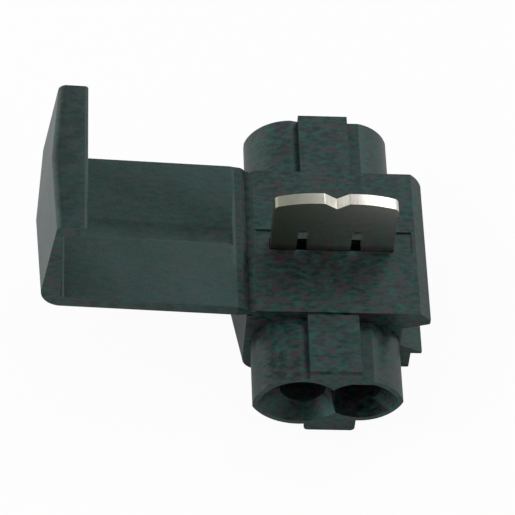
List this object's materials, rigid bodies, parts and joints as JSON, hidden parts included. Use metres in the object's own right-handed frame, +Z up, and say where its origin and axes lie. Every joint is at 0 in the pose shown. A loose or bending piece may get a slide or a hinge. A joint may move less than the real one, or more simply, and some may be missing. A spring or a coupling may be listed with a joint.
{
  "type": "insulation displacement connector",
  "caption": "Insulation displacement connector for tapping a wire: a block with side-by-side wire ports, a raised slotted contact plate and a hinged cover with a latch hook.",
  "frame": {"origin": "middle of the flat underside, halfway between the axes of the two wire ports and at the middle of the block's length", "axes": "+X from the hinge to the latch teeth, +Y along the ports away from the tap port's open mouth, +Z up towards the face that the contact stands on"},
  "size_m": [0.0306, 0.0264, 0.0167],
  "materials": {
    "black_plastic": "semi-matt, finely grained black polypropylene",
    "tinned_metal": "bright tin plating on a punched strip"
  },
  "bodies": {
    "block": {"body": "black_plastic", "hinge_web": "black_plastic"},
    "cover": {"cover": "black_plastic"},
    "contact": {"contact_plate": "tinned_metal"}
  },
  "joints": [
    {"name": "cover_hinge", "type": "hinge", "parent": "block", "child": "cover", "pos_m": [-0.00653, 0, 0.00749], "axis": [0, 1, 0], "range_deg": [0, 177.2], "deforming": ["hinge_web"]},
    {"name": "contact_press", "type": "slide", "parent": "block", "child": "contact", "axis": [0, 0, -1], "range_m": [0, 0.00545]}
  ],
  "couplings": [
    {"joint": "contact_press", "follows": "cover_hinge", "m_per_rad": 0.001762}
  ]
}
